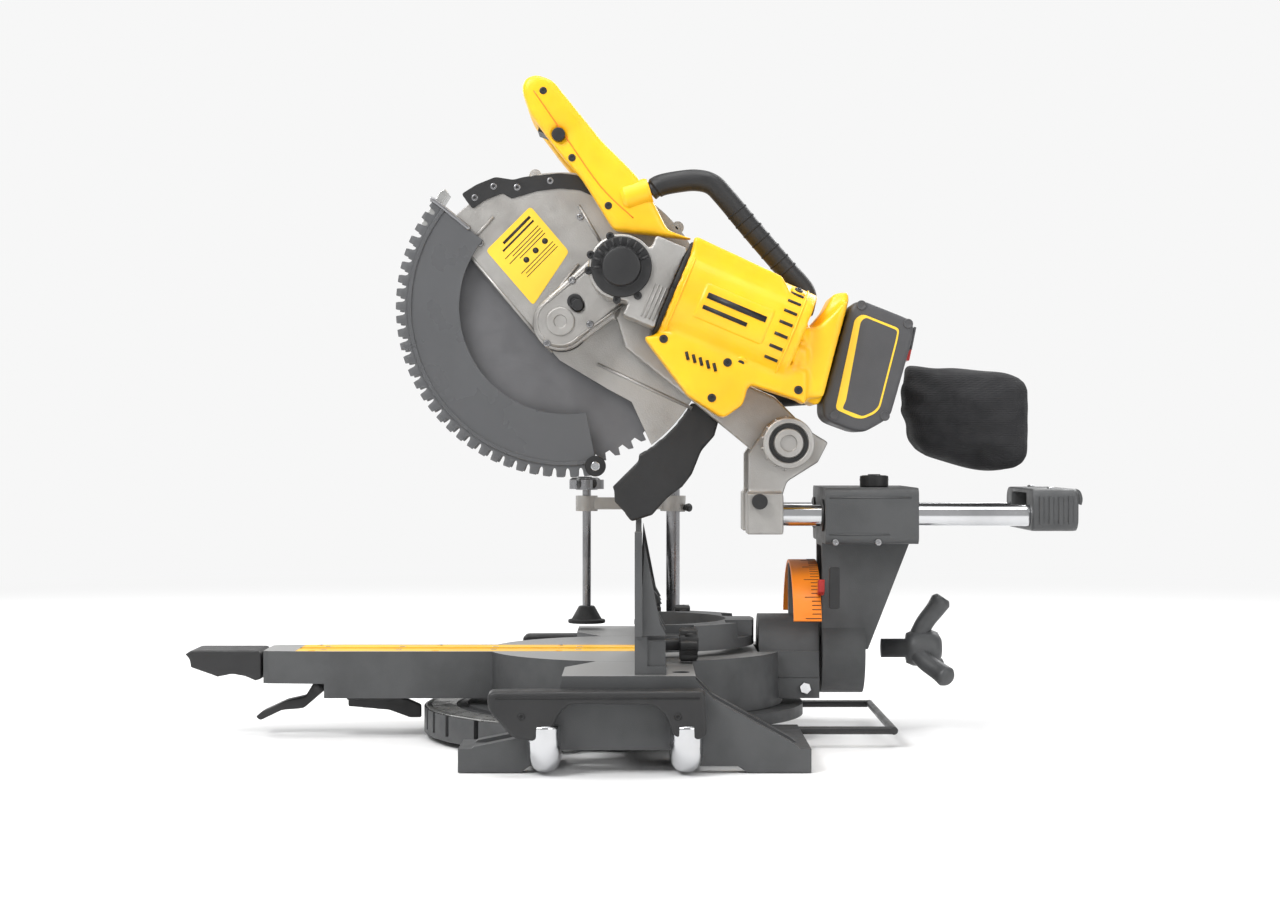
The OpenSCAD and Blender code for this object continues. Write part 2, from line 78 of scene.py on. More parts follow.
# In metres: the milled table's height, and how far a face may be from it.
TABLE_Z = 0.090
TABLE_TOLERANCE = 0.0006
BACKDROP = 0.93
BAG_FRONT, BAG_LENGTH = 0.290, 0.136


# ---------------------------------------------------------------- materials
def srgb(r, g, b):
    """0-255 display colour to Blender's linear colour."""
    def lin(c):
        c /= 255
        return c / 12.92 if c <= 0.04045 else ((c + 0.055) / 1.055) ** 2.4
    return (lin(r), lin(g), lin(b), 1.0)


def add_node(nt, kind, values=None, **settings):
    """A shader node with its settings, and its inputs set to numbers or linked to sockets."""
    node = nt.nodes.new("ShaderNode" + kind)
    for key, value in settings.items():
        setattr(node, key, value)
    for key, value in (values or {}).items():
        feed(nt, node.inputs[key], value)
    return node


def feed(nt, socket, value):
    if isinstance(value, bpy.types.NodeSocket):
        nt.links.new(value, socket)
    else:
        socket.default_value = value


def maths(nt, operation, first, second):
    return add_node(nt, "Math", {0: first, 1: second}, operation=operation).outputs["Value"]


def finish_material(name, colour, dark, rough, metallic=0.0, grain=900.0, bump=0.08,
                    blotch=18.0, coat=0.0, stretch=(1, 1, 1), scratch=0.0):
    """A surface with blotchy colour, uneven roughness, grain and fine scratches."""
    mat = bpy.data.materials.new(name)
    mat.use_nodes = True
    nt = mat.node_tree
    coord = add_node(nt, "TexCoord").outputs["Object"]
    scaled = add_node(nt, "Mapping", {"Vector": coord, "Scale": stretch}).outputs["Vector"]

    def noise(size, detail, vector=coord):
        inputs = {"Scale": size, "Detail": detail, "Vector": vector}
        return add_node(nt, "TexNoise", inputs).outputs["Fac"]

    def remap(value, lo, hi, out_lo, out_hi):
        inputs = {"Value": value, "From Min": lo, "From Max": hi, "To Min": out_lo, "To Max": out_hi}
        return add_node(nt, "MapRange", inputs).outputs["Result"]

    mix = add_node(nt, "Mix", {"Factor": remap(noise(blotch, 5.0), 0.42, 0.75, 0.0, 1.0),
                               "A": colour, "B": dark}, data_type="RGBA")
    spread = 0.10 if rough > 0.2 else 0.05
    roughness = remap(noise(blotch * 3.1, 4.0), 0.3, 0.7, rough - spread, rough + spread)
    height = noise(grain, 2.0, scaled)
    if scratch:
        height = maths(nt, "ADD", height, remap(noise(blotch * 9, 6.0), 0.6, 0.8, 0.0, scratch))
    relief = add_node(nt, "Bump", {"Strength": bump, "Distance": 0.0006, "Height": height})
    bsdf = nt.nodes["Principled BSDF"]
    for key, value in (("Base Color", mix.outputs["Result"]), ("Roughness", roughness),
                       ("Metallic", metallic), ("Coat Weight", coat), ("Coat Roughness", 0.25),
                       ("Normal", relief.outputs["Normal"])):
        feed(nt, bsdf.inputs[key], value)
    return mat


def machined_top(mat):
    """Where a painted casting faces straight up at table height, show milled metal."""
    nt = mat.node_tree
    bsdf = nt.nodes["Principled BSDF"]
    geo = add_node(nt, "NewGeometry")
    height, facing = (add_node(nt, "SeparateXYZ", {0: geo.outputs[source]}).outputs["Z"]
                      for source in ("Position", "Normal"))
    above = maths(nt, "GREATER_THAN", height, TABLE_Z - TABLE_TOLERANCE)
    flat = maths(nt, "GREATER_THAN", facing, 0.97)
    below = maths(nt, "LESS_THAN", height, TABLE_Z + TABLE_TOLERANCE)
    milled = maths(nt, "MULTIPLY", maths(nt, "MULTIPLY", above, flat), below)
    for key, value, kind in (("Base Color", srgb(176, 176, 175), "RGBA"), ("Metallic", 0.75, "FLOAT"),
                             ("Roughness", 0.40, "FLOAT")):
        socket = bsdf.inputs[key]
        painted = socket.links[0].from_socket if socket.is_linked else socket.default_value
        mix = add_node(nt, "Mix", {"Factor": milled, "A": painted, "B": value}, data_type=kind)
        nt.links.new(mix.outputs["Result"], socket)


def see_through(mat):
    """Smoked polycarbonate, seen through a little."""
    mat.node_tree.nodes["Principled BSDF"].inputs["Alpha"].default_value = 0.80


def woven(mat):
    """Two crossed waves lift the cloth's surface."""
    nt = mat.node_tree
    coord = next(n for n in nt.nodes if n.type == "TEX_COORD").outputs["Object"]
    waves = [add_node(nt, "TexWave", {"Scale": 160, "Distortion": 0.4, "Vector": coord},
                      bands_direction=axis).outputs["Fac"] for axis in ("X", "Z")]
    normal = nt.nodes["Principled BSDF"].inputs["Normal"]
    weave = add_node(nt, "Bump", {"Strength": 0.5, "Distance": 0.0007,
                                  "Normal": normal.links[0].from_socket,
                                  "Height": maths(nt, "ADD", *waves)})
    nt.links.new(weave.outputs["Normal"], normal)


# name: colour, darker blotches, roughness, and the rest of the finish
FINISHES = {
    "yellow_plastic": ((255, 196, 20), (252, 180, 12), 0.40, dict(grain=1500, bump=0.10, coat=0.12)),
    "black_plastic": ((34, 34, 35), (26, 26, 27), 0.48, dict(grain=1400, bump=0.22)),
    "black_rubber": ((27, 27, 28), (20, 20, 20), 0.72, dict(grain=1100, bump=0.35)),
    "battery_plastic": ((74, 74, 76), (66, 66, 68), 0.52, dict(grain=1300, bump=0.25)),
    "dark_metal": ((82, 83, 84), (70, 71, 72), 0.50,
                   dict(metallic=0.35, grain=1000, bump=0.28, scratch=0.25)),
    "fence_alloy": ((84, 85, 86), (72, 73, 74), 0.46,
                    dict(metallic=0.4, grain=900, bump=0.22, stretch=(0.15, 1, 3), scratch=0.25)),
    "cast_alloy": ((176, 174, 171), (150, 147, 143), 0.46,
                   dict(metallic=0.75, grain=800, bump=0.45, scratch=0.2)),
    "scale_plate": ((196, 196, 194), (180, 180, 178), 0.30,
                    dict(metallic=0.9, grain=900, bump=0.06, stretch=(1, 1, 0.1))),
    "steel": ((160, 160, 162), (128, 128, 130), 0.30,
              dict(metallic=1.0, grain=900, bump=0.10, stretch=(0.2, 1, 1), scratch=0.2)),
    "blade_steel": ((112, 112, 114), (100, 100, 102), 0.42,
                    dict(metallic=0.45, grain=700, bump=0.12, stretch=(1, 0.15, 1), scratch=0.2)),
    "chrome": ((205, 206, 208), (185, 186, 188), 0.13, dict(metallic=1.0, grain=600, bump=0.03)),
    "smoke_guard": ((92, 93, 95), (87, 88, 90), 0.30,
                    dict(grain=900, bump=0.03, blotch=5.0, coat=0.3)),
    "orange_scale": ((238, 132, 24), (226, 118, 18), 0.42, dict(grain=1200, bump=0.08)),
    "bronze": ((176, 138, 84), (150, 112, 64), 0.38, dict(metallic=1.0, grain=900, bump=0.12)),
    "copper": ((188, 112, 72), (160, 90, 52), 0.35, dict(metallic=1.0, grain=700, bump=0.2)),
    "laminated_steel": ((120, 121, 124), (96, 97, 99), 0.40,
                        dict(metallic=1.0, grain=900, bump=0.3, stretch=(1, 6, 1))),
    "red_plastic": ((176, 30, 26), (150, 24, 20), 0.40, dict(grain=1300, bump=0.12)),
    "black_wire": ((32, 32, 33), (24, 24, 25), 0.38, dict(grain=900, bump=0.12, coat=0.2)),
    "bag_fabric": ((38, 38, 40), (28, 28, 30), 0.88, dict(grain=500, bump=0.3)),
    "label_yellow": ((250, 206, 60), (237.5, 195.7, 57), 0.45, dict(grain=1600, bump=0.04)),
    # black for printed labels and marks, also used as painted shade in the motor's vent slots
    "print_and_shade_black": ((24, 24, 24), (22.8, 22.8, 22.8), 0.45, dict(grain=1600, bump=0.04)),
}
MATS = {name: finish_material(name, srgb(*colour), srgb(*dark), rough, **more)
        for name, (colour, dark, rough, more) in FINISHES.items()}
machined_top(MATS["dark_metal"])
see_through(MATS["smoke_guard"])
woven(MATS["bag_fabric"])


# ---------------------------------------------------------------- mesh tools
def soften(obj, width=0.8, angle=32.0, segments=3, dissolve=False):
    """Merge the CAD's facets and round its edges, as modifiers."""
    weld = obj.modifiers.new("weld", "WELD")
    weld.merge_threshold = 2e-5
    if dissolve:
        dec = obj.modifiers.new("flat", "DECIMATE")
        dec.decimate_type = "DISSOLVE"
        dec.angle_limit = math.radians(1.0)
    bev = obj.modifiers.new("edge", "BEVEL")
    bev.width = width * MM
    bev.segments = segments
    bev.limit_method = "ANGLE"
    bev.angle_limit = math.radians(angle)
    bev.use_clamp_overlap = True
    bev.harden_normals = True
    norm = obj.modifiers.new("normals", "WEIGHTED_NORMAL")
    norm.keep_sharp = True


def linked(name, data):
    """A new object in the scene."""
    obj = bpy.data.objects.new(name, data)
    bpy.context.collection.objects.link(obj)
    return obj


def spoke(angle):
    """A unit vector across X, by its angle from +Y towards up."""
    return Vector((0, math.cos(angle), math.sin(angle)))


def around(centre, direction, sides):
    """Points of a circle about an axis, as a function of the distance along it and the radius."""
    d = Vector(direction).normalized()
    side = d.orthogonal().normalized()
    up = d.cross(side)
    turns = [2 * math.pi * k / sides for k in range(sides)]
    return lambda s, r: [Vector(centre) + d * s + (side * math.cos(t) + up * math.sin(t)) * r(t)
                         for t in turns]


def skin(bm, rings):
    """Join rings of vertices with quads and close both ends."""
    for a, b in zip(rings, rings[1:]):
        for k in range(len(a)):
            k2 = (k + 1) % len(a)
            bm.faces.new((a[k], a[k2], b[k2], b[k]))
    bm.faces.new(rings[0])
    bm.faces.new(rings[-1])


def to_metres(bm):
    bmesh.ops.recalc_face_normals(bm, faces=bm.faces)
    bmesh.ops.scale(bm, verts=bm.verts, vec=(MM, MM, MM))


def from_bmesh(name, bm):
    mesh = bpy.data.meshes.new(name)
    bm.to_mesh(mesh)
    bm.free()
    return linked(name, mesh)


def paint(obj, material, smooth=True):
    """Give the whole object one material and one shading."""
    obj.data.materials.clear()
    obj.data.materials.append(MATS[material])
    for p in obj.data.polygons:
        p.use_smooth = smooth
        p.material_index = 0


def new_piece(name, bm, material, body, smooth=True):
    """Make a piece from a bmesh drawn in millimetres and fix it to a body."""
    bmesh.ops.remove_doubles(bm, verts=bm.verts, dist=1e-4)
    to_metres(bm)
    obj = from_bmesh(name, bm)
    paint(obj, material, smooth)
    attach(obj, body)
    return obj


def rounded(name, bm, material, body, width, angle, segments):
    """A new piece with its edges rounded."""
    obj = new_piece(name, bm, material, body)
    soften(obj, width, angle, segments)
    return obj


def fillet(points, radius, steps=4):
    """Round the corners of a closed outline."""
    out = []
    n = len(points)
    for i in range(n):
        p = Vector(points[i])
        a = Vector(points[i - 1]) - p
        b = Vector(points[(i + 1) % n]) - p
        cut = min(radius, a.length * 0.45, b.length * 0.45)
        a = p + a.normalized() * cut
        b = p + b.normalized() * cut
        for s in range(steps + 1):
            t = s / steps
            out.append((1 - t) ** 2 * a + 2 * t * (1 - t) * p + t * t * b)
    return [(v[0], v[1]) for v in out]


def place(axis, u, v, w):
    """A point from two outline coordinates and a depth along an axis."""
    return {"x": (w, u, v), "y": (u, w, v), "z": (u, v, w)}[axis]


def add_prism(bm, axis, lo, hi, outline, taper=0.0):
    """A closed slab with an outline across an axis; taper insets the far face."""
    cu = sum(p[0] for p in outline) / len(outline)
    cv = sum(p[1] for p in outline) / len(outline)
    near = [bm.verts.new(place(axis, u, v, lo)) for u, v in outline]
    far = []
    for u, v in outline:
        d = math.hypot(u - cu, v - cv) or 1
        far.append(bm.verts.new(place(axis, u - (u - cu) / d * taper, v - (v - cv) / d * taper, hi)))
    bm.faces.new(near)
    bm.faces.new(far)
    n = len(outline)
    for i in range(n):
        bm.faces.new((near[i], near[(i + 1) % n], far[(i + 1) % n], far[i]))


def prism(name, axis, lo, hi, outline, material, body, width=0.8):
    bm = bmesh.new()
    add_prism(bm, axis, lo, hi, outline)
    rounded(name, bm, material, body, width, 32.0, 3)


def turned(bm, centre, direction, profile, sides=40):
    """A closed turned shape: profile is (distance along the axis, radius)."""
    points = around(centre, direction, sides)
    rings = []
    for s, r in profile:
        ring = points(s, lambda t: r)
        rings.append([bm.verts.new(p) for p in (ring if r > 0 else ring[:1])])
    for a, b in zip(rings, rings[1:]):
        for k in range(sides):
            k2 = (k + 1) % sides
            if len(a) == 1:
                bm.faces.new((a[0], b[k], b[k2]))
            elif len(b) == 1:
                bm.faces.new((a[k], a[k2], b[0]))
            else:
                bm.faces.new((a[k], a[k2], b[k2], b[k]))
    for ring in (rings[0], rings[-1]):
        if len(ring) > 1:
            bm.faces.new(ring)


def lathe(name, centre, direction, profile, material, body, sides=40):
    bm = bmesh.new()
    turned(bm, centre, direction, profile, sides)
    rounded(name, bm, material, body, 0.4, 30.0, 2)


def smooth_path(points, steps=8):
    """Catmull-Rom curve through the points."""
    pts = [Vector(p) for p in points]
    out = []
    for i in range(len(pts) - 1):
        p0 = pts[max(i - 1, 0)]
        p1, p2 = pts[i], pts[i + 1]
        p3 = pts[min(i + 2, len(pts) - 1)]
        for s in range(steps):
            t = s / steps
            out.append(0.5 * ((2 * p1) + (p2 - p0) * t + (2 * p0 - 5 * p1 + 4 * p2 - p3) * t * t
                              + (3 * p1 - p0 - 3 * p2 + p3) * t ** 3))
    out.append(pts[-1])
    return out


def add_tube(bm, path, radius, sides=20):
    """A round bar along a path, with closed ends; the radius may be a function of the way along."""
    pts = [Vector(p) for p in path]
    ref = Vector((1, 0, 0))
    rings = []
    for i, p in enumerate(pts):
        t = (pts[min(i + 1, len(pts) - 1)] - pts[max(i - 1, 0)]).normalized()
        u = ref - t * ref.dot(t)
        if u.length < 0.05:
            u = Vector((0, 0, 1)) - t * t.z
        u.normalize()
        v = t.cross(u)
        r = radius(i / (len(pts) - 1)) if callable(radius) else radius
        rings.append([bm.verts.new(p + u * math.cos(a) * r + v * math.sin(a) * r)
                      for a in (2 * math.pi * k / sides for k in range(sides))])
    skin(bm, rings)


def tube(name, path, radius, material, body, sides):
    bm = bmesh.new()
    add_tube(bm, path, radius, sides)
    return rounded(name, bm, material, body, 0.4, 40.0, 2)


def screw(bm, centre, direction, radius=4.0, height=1.6):
    """A pan-head screw with a hollow star drive."""
    head = ((0.55, 1.0), (0.9, 0.86), (1.0, 0.62), (1.0, 0.42), (0.35, 0.38), (0.35, 0.0))
    turned(bm, centre, direction, [(-1.0, radius)] + [(height * h, radius * r) for h, r in head], 24)


def screws(name, places, direction, body, radius=4.0, height=1.6, material="steel"):
    bm = bmesh.new()
    for p in places:
        screw(bm, p, direction, radius, height)
    rounded(name, bm, material, body, 0.25, 30.0, 1)


def star_knob(name, centre, direction, material, body, radius, height, lobes):
    """A fluted clamp knob."""
    bm = bmesh.new()
    d = Vector(direction).normalized()
    points = around(centre, d, lobes * 12)
    levels = [(height * h, f) for h, f in ((0, 0.84), (0.14, 0.97), (0.5, 1.0), (0.86, 0.96), (1, 0.8))]
    skin(bm, [[bm.verts.new(p) for p in
               points(s, lambda t: radius * f * (0.88 + 0.12 * math.cos(lobes * t)))]
              for s, f in levels])
    turned(bm, Vector(centre) + d * (height - 0.5), d,
           [(0, radius * 0.45), (1.6, radius * 0.42), (1.6, 0)], 32)
    new_piece(name, bm, material, body)


# ---------------------------------------------------------------- carried-over CAD pieces
EDGE = {"base_casting": 1.6, "turntable": 1.4, "tower": 2.4, "rail_end_cap": 3.0, "head_bracket": 2.0,
        "gearcase": 1.6, "belt_cover": 2.2, "gear_cap": 1.6, "motor_housing": 2.2, "handle_front": 5.0,
        "handle_rear": 5.0, "carry_handle": 7.0, "battery": 7.0, "battery_foot": 3.0,
        "dust_chute": 2.5, "support_left": 2.0, "support_right": 2.0, "mitre_grip": 4.0,
        "clamp_arm": 2.5, "detent_lever": 1.2, "bevel_knob": 2.5, "slide_lock_knob": 1.5,
        "upper_guard": 1.2, "lower_guard": 0.6, "blade": 0.15, "trigger": 2.0, "lock_off_button": 1.0,
        "spindle_lock": 0.8, "battery_button": 1.0, "clamp_pad": 1.5, "kerf_plate_left": 0.5,
        "kerf_plate_right": 0.5, "fence_lower": 1.0, "fence_upper_left": 0.9,
        "fence_upper_right": 0.9, "bevel_support": 1.6, "bevel_scale": 0.6}


slots = {s["node"]: s["material_slot"] for s in frame["record"]["subparts"]}
slots.update(clamp_arm="cast_alloy", bevel_support="dark_metal")
for node, cad in frame["nodes"].items():
    cad.data.materials.clear()
    cad.data.materials.append(MATS.get(slots.get(node), MATS["cast_alloy"]))
    soften(cad, EDGE.get(node, 0.7), dissolve=True)


# ---------------------------------------------------------------- moulded and cast bodies
def bake(obj):
    """Apply the object's modifiers to its mesh."""
    deps = bpy.context.evaluated_depsgraph_get()
    done = bpy.data.meshes.new_from_object(obj.evaluated_get(deps))
    obj.modifiers.clear()
    obj.data = done


def moulded(name, nodes, material, body, voxel=3.0, rounds=10, extra=()):
    """Join CAD nodes and extra slabs, then remesh and relax them into one soft-edged shape."""
    bm = bmesh.new()
    for lo, hi, outline in extra:
        add_prism(bm, "x", lo, hi, outline)
    to_metres(bm)
    for n in nodes:
        bm.from_mesh(frame["nodes"][n].data)
    bmesh.ops.remove_doubles(bm, verts=bm.verts, dist=2e-5)
    obj = from_bmesh(name, bm)
    rem = obj.modifiers.new("remesh", "REMESH")
    rem.mode = "VOXEL"
    rem.voxel_size = voxel * MM
    relax = obj.modifiers.new("relax", "SMOOTH")
    relax.factor = 0.5
    relax.iterations = rounds
    bake(obj)
    paint(obj, material)
    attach(obj, body)
    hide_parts(*nodes)


# A slab across X that joins the motor barrel to the battery foot: from, to and outline.
MOTOR_NECK = (42, 106, [(146, 366), (146, 430), (170, 425), (186, 427), (202, 442), (218, 457),
                        (214, 440), (192, 354), (166, 354)])


def mouldings():
    """Housings, castings and grips that replace their CAD nodes, with voxel size and rounds."""
    moulded("handle_shell", ("handle_front", "handle_rear"), "yellow_plastic", "head", 3.0, 26)
    moulded("motor_shell", ("motor_housing", "battery_foot"), "yellow_plastic", "head", 2.6, 12,
            (MOTOR_NECK,))
    for name, node, material, body, voxel, rounds in (
            ("chute_shell", "dust_chute", "black_plastic", "head", 2.0, 8),
            ("battery_shell", "battery", "battery_plastic", "battery", 3.0, 16),
            ("bracket_casting", "head_bracket", "cast_alloy", "carriage", 2.0, 5),
            ("gear_casting", "gearcase", "cast_alloy", "head", 2.0, 5),
            ("belt_casting", "belt_cover", "cast_alloy", "head", 1.6, 5),
            ("grip_moulding", "mitre_grip", "black_plastic", "mitre_grip", 2.0, 10),
            ("end_casting", "rail_end_cap", "dark_metal", "carriage", 2.0, 5),
            ("finger_lever", "detent_lever", "black_plastic", "detent_lever", 1.4, 8),
            ("latch_bar", "detent_latch", "black_plastic", "detent_latch", 1.4, 5)):
        moulded(name, (node,), material, body, voxel, rounds)


# ---------------------------------------------------------------- guards
def notched_arc(inner, outer, depth, start=GUARD_START, end=GUARD_END, count=30):
    """Outline of a ring sector about the guard's centre whose outer edge has U notches."""
    cy, cz = GUARD_CENTRE
    pts = []
    da = (end - start) / count
    profile = ((0.0, 0.0), (0.50, 0.0), (0.54, 0.25), (0.57, 0.72), (0.64, 0.95), (0.75, 1.0),
               (0.86, 0.95), (0.93, 0.72), (0.96, 0.25))
    for i in range(count):
        for f, cut in profile:
            a, r = start + da * (i + f), outer - depth * cut
            pts.append((cy + r * math.cos(a), cz + r * math.sin(a)))
    pts.append((cy + outer * math.cos(end), cz + outer * math.sin(end)))
    for i in range(90, -1, -1):
        a = start + (end - start) * i / 90
        pts.append((cy + inner * math.cos(a), cz + inner * math.sin(a)))
    return pts


def lower_guard_shell():
    """Two smoke walls with U-notched rims, the band and beads that join them, and the roller's pin."""
    bm = bmesh.new()
    add_prism(bm, "x", 19.9, 22.6, notched_arc(113, 180, 9.5))
    add_prism(bm, "x", -22.6, -19.9, notched_arc(36, 180, 9.5))
    obj = rounded("guard_walls", bm, "smoke_guard", "lower_guard", 0.4, 40.0, 2)
    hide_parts("lower_guard")
    bm = bmesh.new()
    add_prism(bm, "x", -19.9, 19.9, notched_arc(167.6, 169.8, 0.0))
    new_piece("guard_band", bm, "smoke_guard", "lower_guard")
    bm = bmesh.new()
    for x0, x1 in ((22.6, 24.4), (-24.4, -22.6)):
        add_prism(bm, "x", x0, x1,
                  notched_arc(163.5, 167.5, 0.0, GUARD_START + 0.01, GUARD_END - 0.01))
    rounded("guard_bead", bm, "smoke_guard", "lower_guard", 0.7, 40.0, 2)
    lathe("guard_roller_pin", (22.4, -42, 284), (1, 0, 0), [(0, 5), (8, 5), (8.6, 4.4), (8.6, 0)],
          "chrome", "lower_guard")


def guard_lip():
    """Silver channel along the guard's leading edge, with a rolled tip."""
    cy, cz = GUARD_CENTRE
    d = spoke(math.radians(141.4))
    n = Vector((0, -d.z, d.y))
    bm = bmesh.new()
    base = Vector((0, cy, cz))
    path = [base + d * 131, base + d * 150, base + d * 178, base + d * 183 + n * 1.5]
    for side in (-1, 1):
        shifted = [p + Vector((side * 22.6, 0, 0)) + n * -1.0 for p in path]
        add_tube(bm, smooth_path(shifted, 5), 2.6, 12)
    for s in (136, 158, 181):
        p = base + d * s - n * 1.0
        add_tube(bm, [p + Vector((-22.6, 0, 0)), p + Vector((22.6, 0, 0))], 2.0, 12)
    new_piece("guard_lip", bm, "steel", "lower_guard")
    prism("guard_lip_pad", "x", -19.4, 19.4,
          [(-226, 541), (-206, 575), (-201, 577), (-198, 573), (-219, 538), (-224, 537)],
          "scale_plate", "lower_guard", 0.6)


def guard_hub():
    """Raised hub ring where the lower guard pivots, on the left."""
    lathe("guard_hub", (-26.1, *GUARD_CENTRE), (-1, 0, 0),
          [(-4, 41), (-3, 42), (3, 41), (4.5, 38), (4.5, 34.4), (-4, 34.4)],
          "black_plastic", "lower_guard")


def guard_sticker():
    """A yellow plate with plain bars in place of its lettering."""
    corners = [(-111, 559), (-158, 512), (-108, 454), (-70, 511)]
    prism("guard_label", "x", 17.02, 17.5, fillet(corners, 4, 3), "label_yellow", "head", 0.1)
    bm = bmesh.new()
    along = Vector((-0.70, -0.71))
    across = Vector((0.68, -0.73))
    start = Vector((-112.5, 552))
    rows = ((2, 3, 40), (8, 2.0, 46), (16, 0.9, 50), (19.5, 0.9, 42), (23, 0.9, 50), (26.5, 0.9, 38),
            (39, 0.8, 48), (42.5, 0.8, 44), (46, 0.8, 46))
    for down, thick, wide in rows:
        c = start + across * down + along * 2
        quad = [c, c + along * wide, c + along * wide + across * thick, c + across * thick]
        add_prism(bm, "x", 17.48, 17.62, [(p.x, p.y) for p in quad])
    for k in range(3):
        c = start + across * 33 + along * (8 + 14 * k)
        turned(bm, (17.45, c.x, c.y), (1, 0, 0), [(0, 3.2), (0.18, 3.2)], 20)
    new_piece("guard_label_bars", bm, "print_and_shade_black", "head")


def guard_trim():
    """Black edge band over the upper guard's front, with screws, and its two eyes."""
    outline = [(-184, 572), (-168, 582), (-148, 590), (-129, 587), (-118, 590), (-80, 594),
               (-62, 592), (-50, 584), (-46, 570), (-58, 576), (-80, 578), (-104, 575),
               (-131, 567), (-140, 573), (-160, 565), (-172, 556)]
    bm = bmesh.new()
    add_prism(bm, "x", 17.05, 18.7, fillet(outline, 3, 3))
    add_prism(bm, "x", -18.7, -17.05, fillet(outline, 3, 3))
    rounded("guard_trim", bm, "black_plastic", "head", 0.6, 35.0, 2)
    for tag, side in (("", 1), ("_left", -1)):
        places = [(side * 18.2, y, z) for y, z in ((-170, 568), (-150, 580), (-125, 579), (-90, 586))]
        screws("guard_trim_screws" + tag, places, (side, 0, 0), "head", 3.6, 1.0)
    for i, (y, z, ty, tz) in enumerate(((-106, 592, -100, 582), (45, 537, 36, 534))):
        bm = bmesh.new()
        ring = [(y + 6.5 * math.cos(t), z + 6.5 * math.sin(t)) for t in
                (2 * math.pi * k / 32 for k in range(32))]
        add_prism(bm, "x", 8, 16, ring)
        add_prism(bm, "x", 9, 15, [(y - 4, z - 2), (y + 4, z - 2), (ty + 6, tz - 4), (ty - 6, tz - 4)])
        turned(bm, (17, y, z), (-1, 0, 0), [(0, 3.0), (10, 3.0)], 24)
        rounded("guard_eye_%d" % i, bm, "cast_alloy", "head", 0.5, 35.0, 2)


def guard_relief():
    """Cast ribs and screw bosses on the upper guard's right face."""
    bm = bmesh.new()
    ribs = (((-176, 508), (-88, 404)), ((-60, 560), (-36, 520)), ((-150, 548), (-176, 520)),
            ((-60, 498), (-100, 448)), ((-40, 392), (60, 345)))
    for a, b in ribs:
        add_tube(bm, [(GUARD_FACE + 0.2, *a), (GUARD_FACE + 0.2, *b)], 1.8, 10)
    new_piece("guard_ribs", bm, "cast_alloy", "head")
    places = [(GUARD_FACE, y, z) for y, z in ((-164, 520), (-96, 430), (-58, 548))]
    screws("guard_face_screws", places, (1, 0, 0), "head", 3.8, 2.2)


# ---------------------------------------------------------------- drive end
def drive_cover_details():
    """Screws, spindle boss, lamp and cast rim on the belt cover."""
    cy, cz = SPINDLE
    screws("belt_screws", [(BELT_FACE, y, z) for y, z in ((-66, 478), (-47, 432), (-92, 412))],
           (1, 0, 0), "head", 4.0, 2.2)
    lathe("spindle_boss", (BELT_FACE - 0.1, cy, cz), (1, 0, 0),
          [(0, 15), (1.6, 15), (2.4, 13.8), (2.4, 7), (1.0, 6.4), (1.0, 0)], "cast_alloy", "head")
    lathe("spindle_lamp", (BELT_FACE - 0.1, -63, 456), (1, 0, 0),
          [(0, 8), (1.6, 8), (2.2, 7.2), (2.2, 4.6), (1.4, 4.2), (1.4, 0)], "black_plastic", "head")
    bm = bmesh.new()
    rim = [(BELT_FACE, cy + 24.5 * math.cos(t), cz + 24.5 * math.sin(t)) for t in
           (math.radians(a) for a in range(120, 330, 10))]
    for path in (rim, [rim[0], (BELT_FACE, -38, 500)], [rim[-1], (BELT_FACE, 2, 462)]):
        add_tube(bm, path, 1.1, 8)
    new_piece("belt_cover_rim", bm, "cast_alloy", "head")


def gear_cap_details():
    """Ribs, dome and lug screws of the gear cap."""
    cy, cz = JACK_CENTRE
    bm = bmesh.new()
    for k in range(10):
        a = math.radians(20 + 18 * k)
        d = spoke(a)
        p = Vector((122.6, cy, cz))
        add_tube(bm, [p + d * 21, p + d * 29], 1.5, 8)
    new_piece("gear_cap_ribs", bm, "black_plastic", "head")
    lathe("gear_cap_dome", (122.5, cy, cz), (1, 0, 0),
          [(0, 19.5), (1.8, 19.2), (2.6, 17.5), (2.9, 12), (3.1, 0)], "black_plastic", "head", 64)
    places = [(112, cy + 33.5 * math.cos(t), cz + 33.5 * math.sin(t))
              for t in (math.radians(a) for a in (110, 158, 186, 262, 300))]
    screws("gear_cap_screws", places, (1, 0, 0), "head", 4.2, 3.0, "black_plastic")


def on_barrel(s, angle, radius=54.0):
    """A point and outward direction on the motor barrel; angle from +X towards up."""
    axis = Vector((0, math.cos(MOTOR_TILT), -math.sin(MOTOR_TILT)))
    up = Vector((0, math.sin(MOTOR_TILT), math.cos(MOTOR_TILT)))
    d = Vector((1, 0, 0)) * math.cos(angle) + up * math.sin(angle)
    c = Vector((MOTOR_X, *JACK_CENTRE)) + axis * s
    return c + d * radius, d


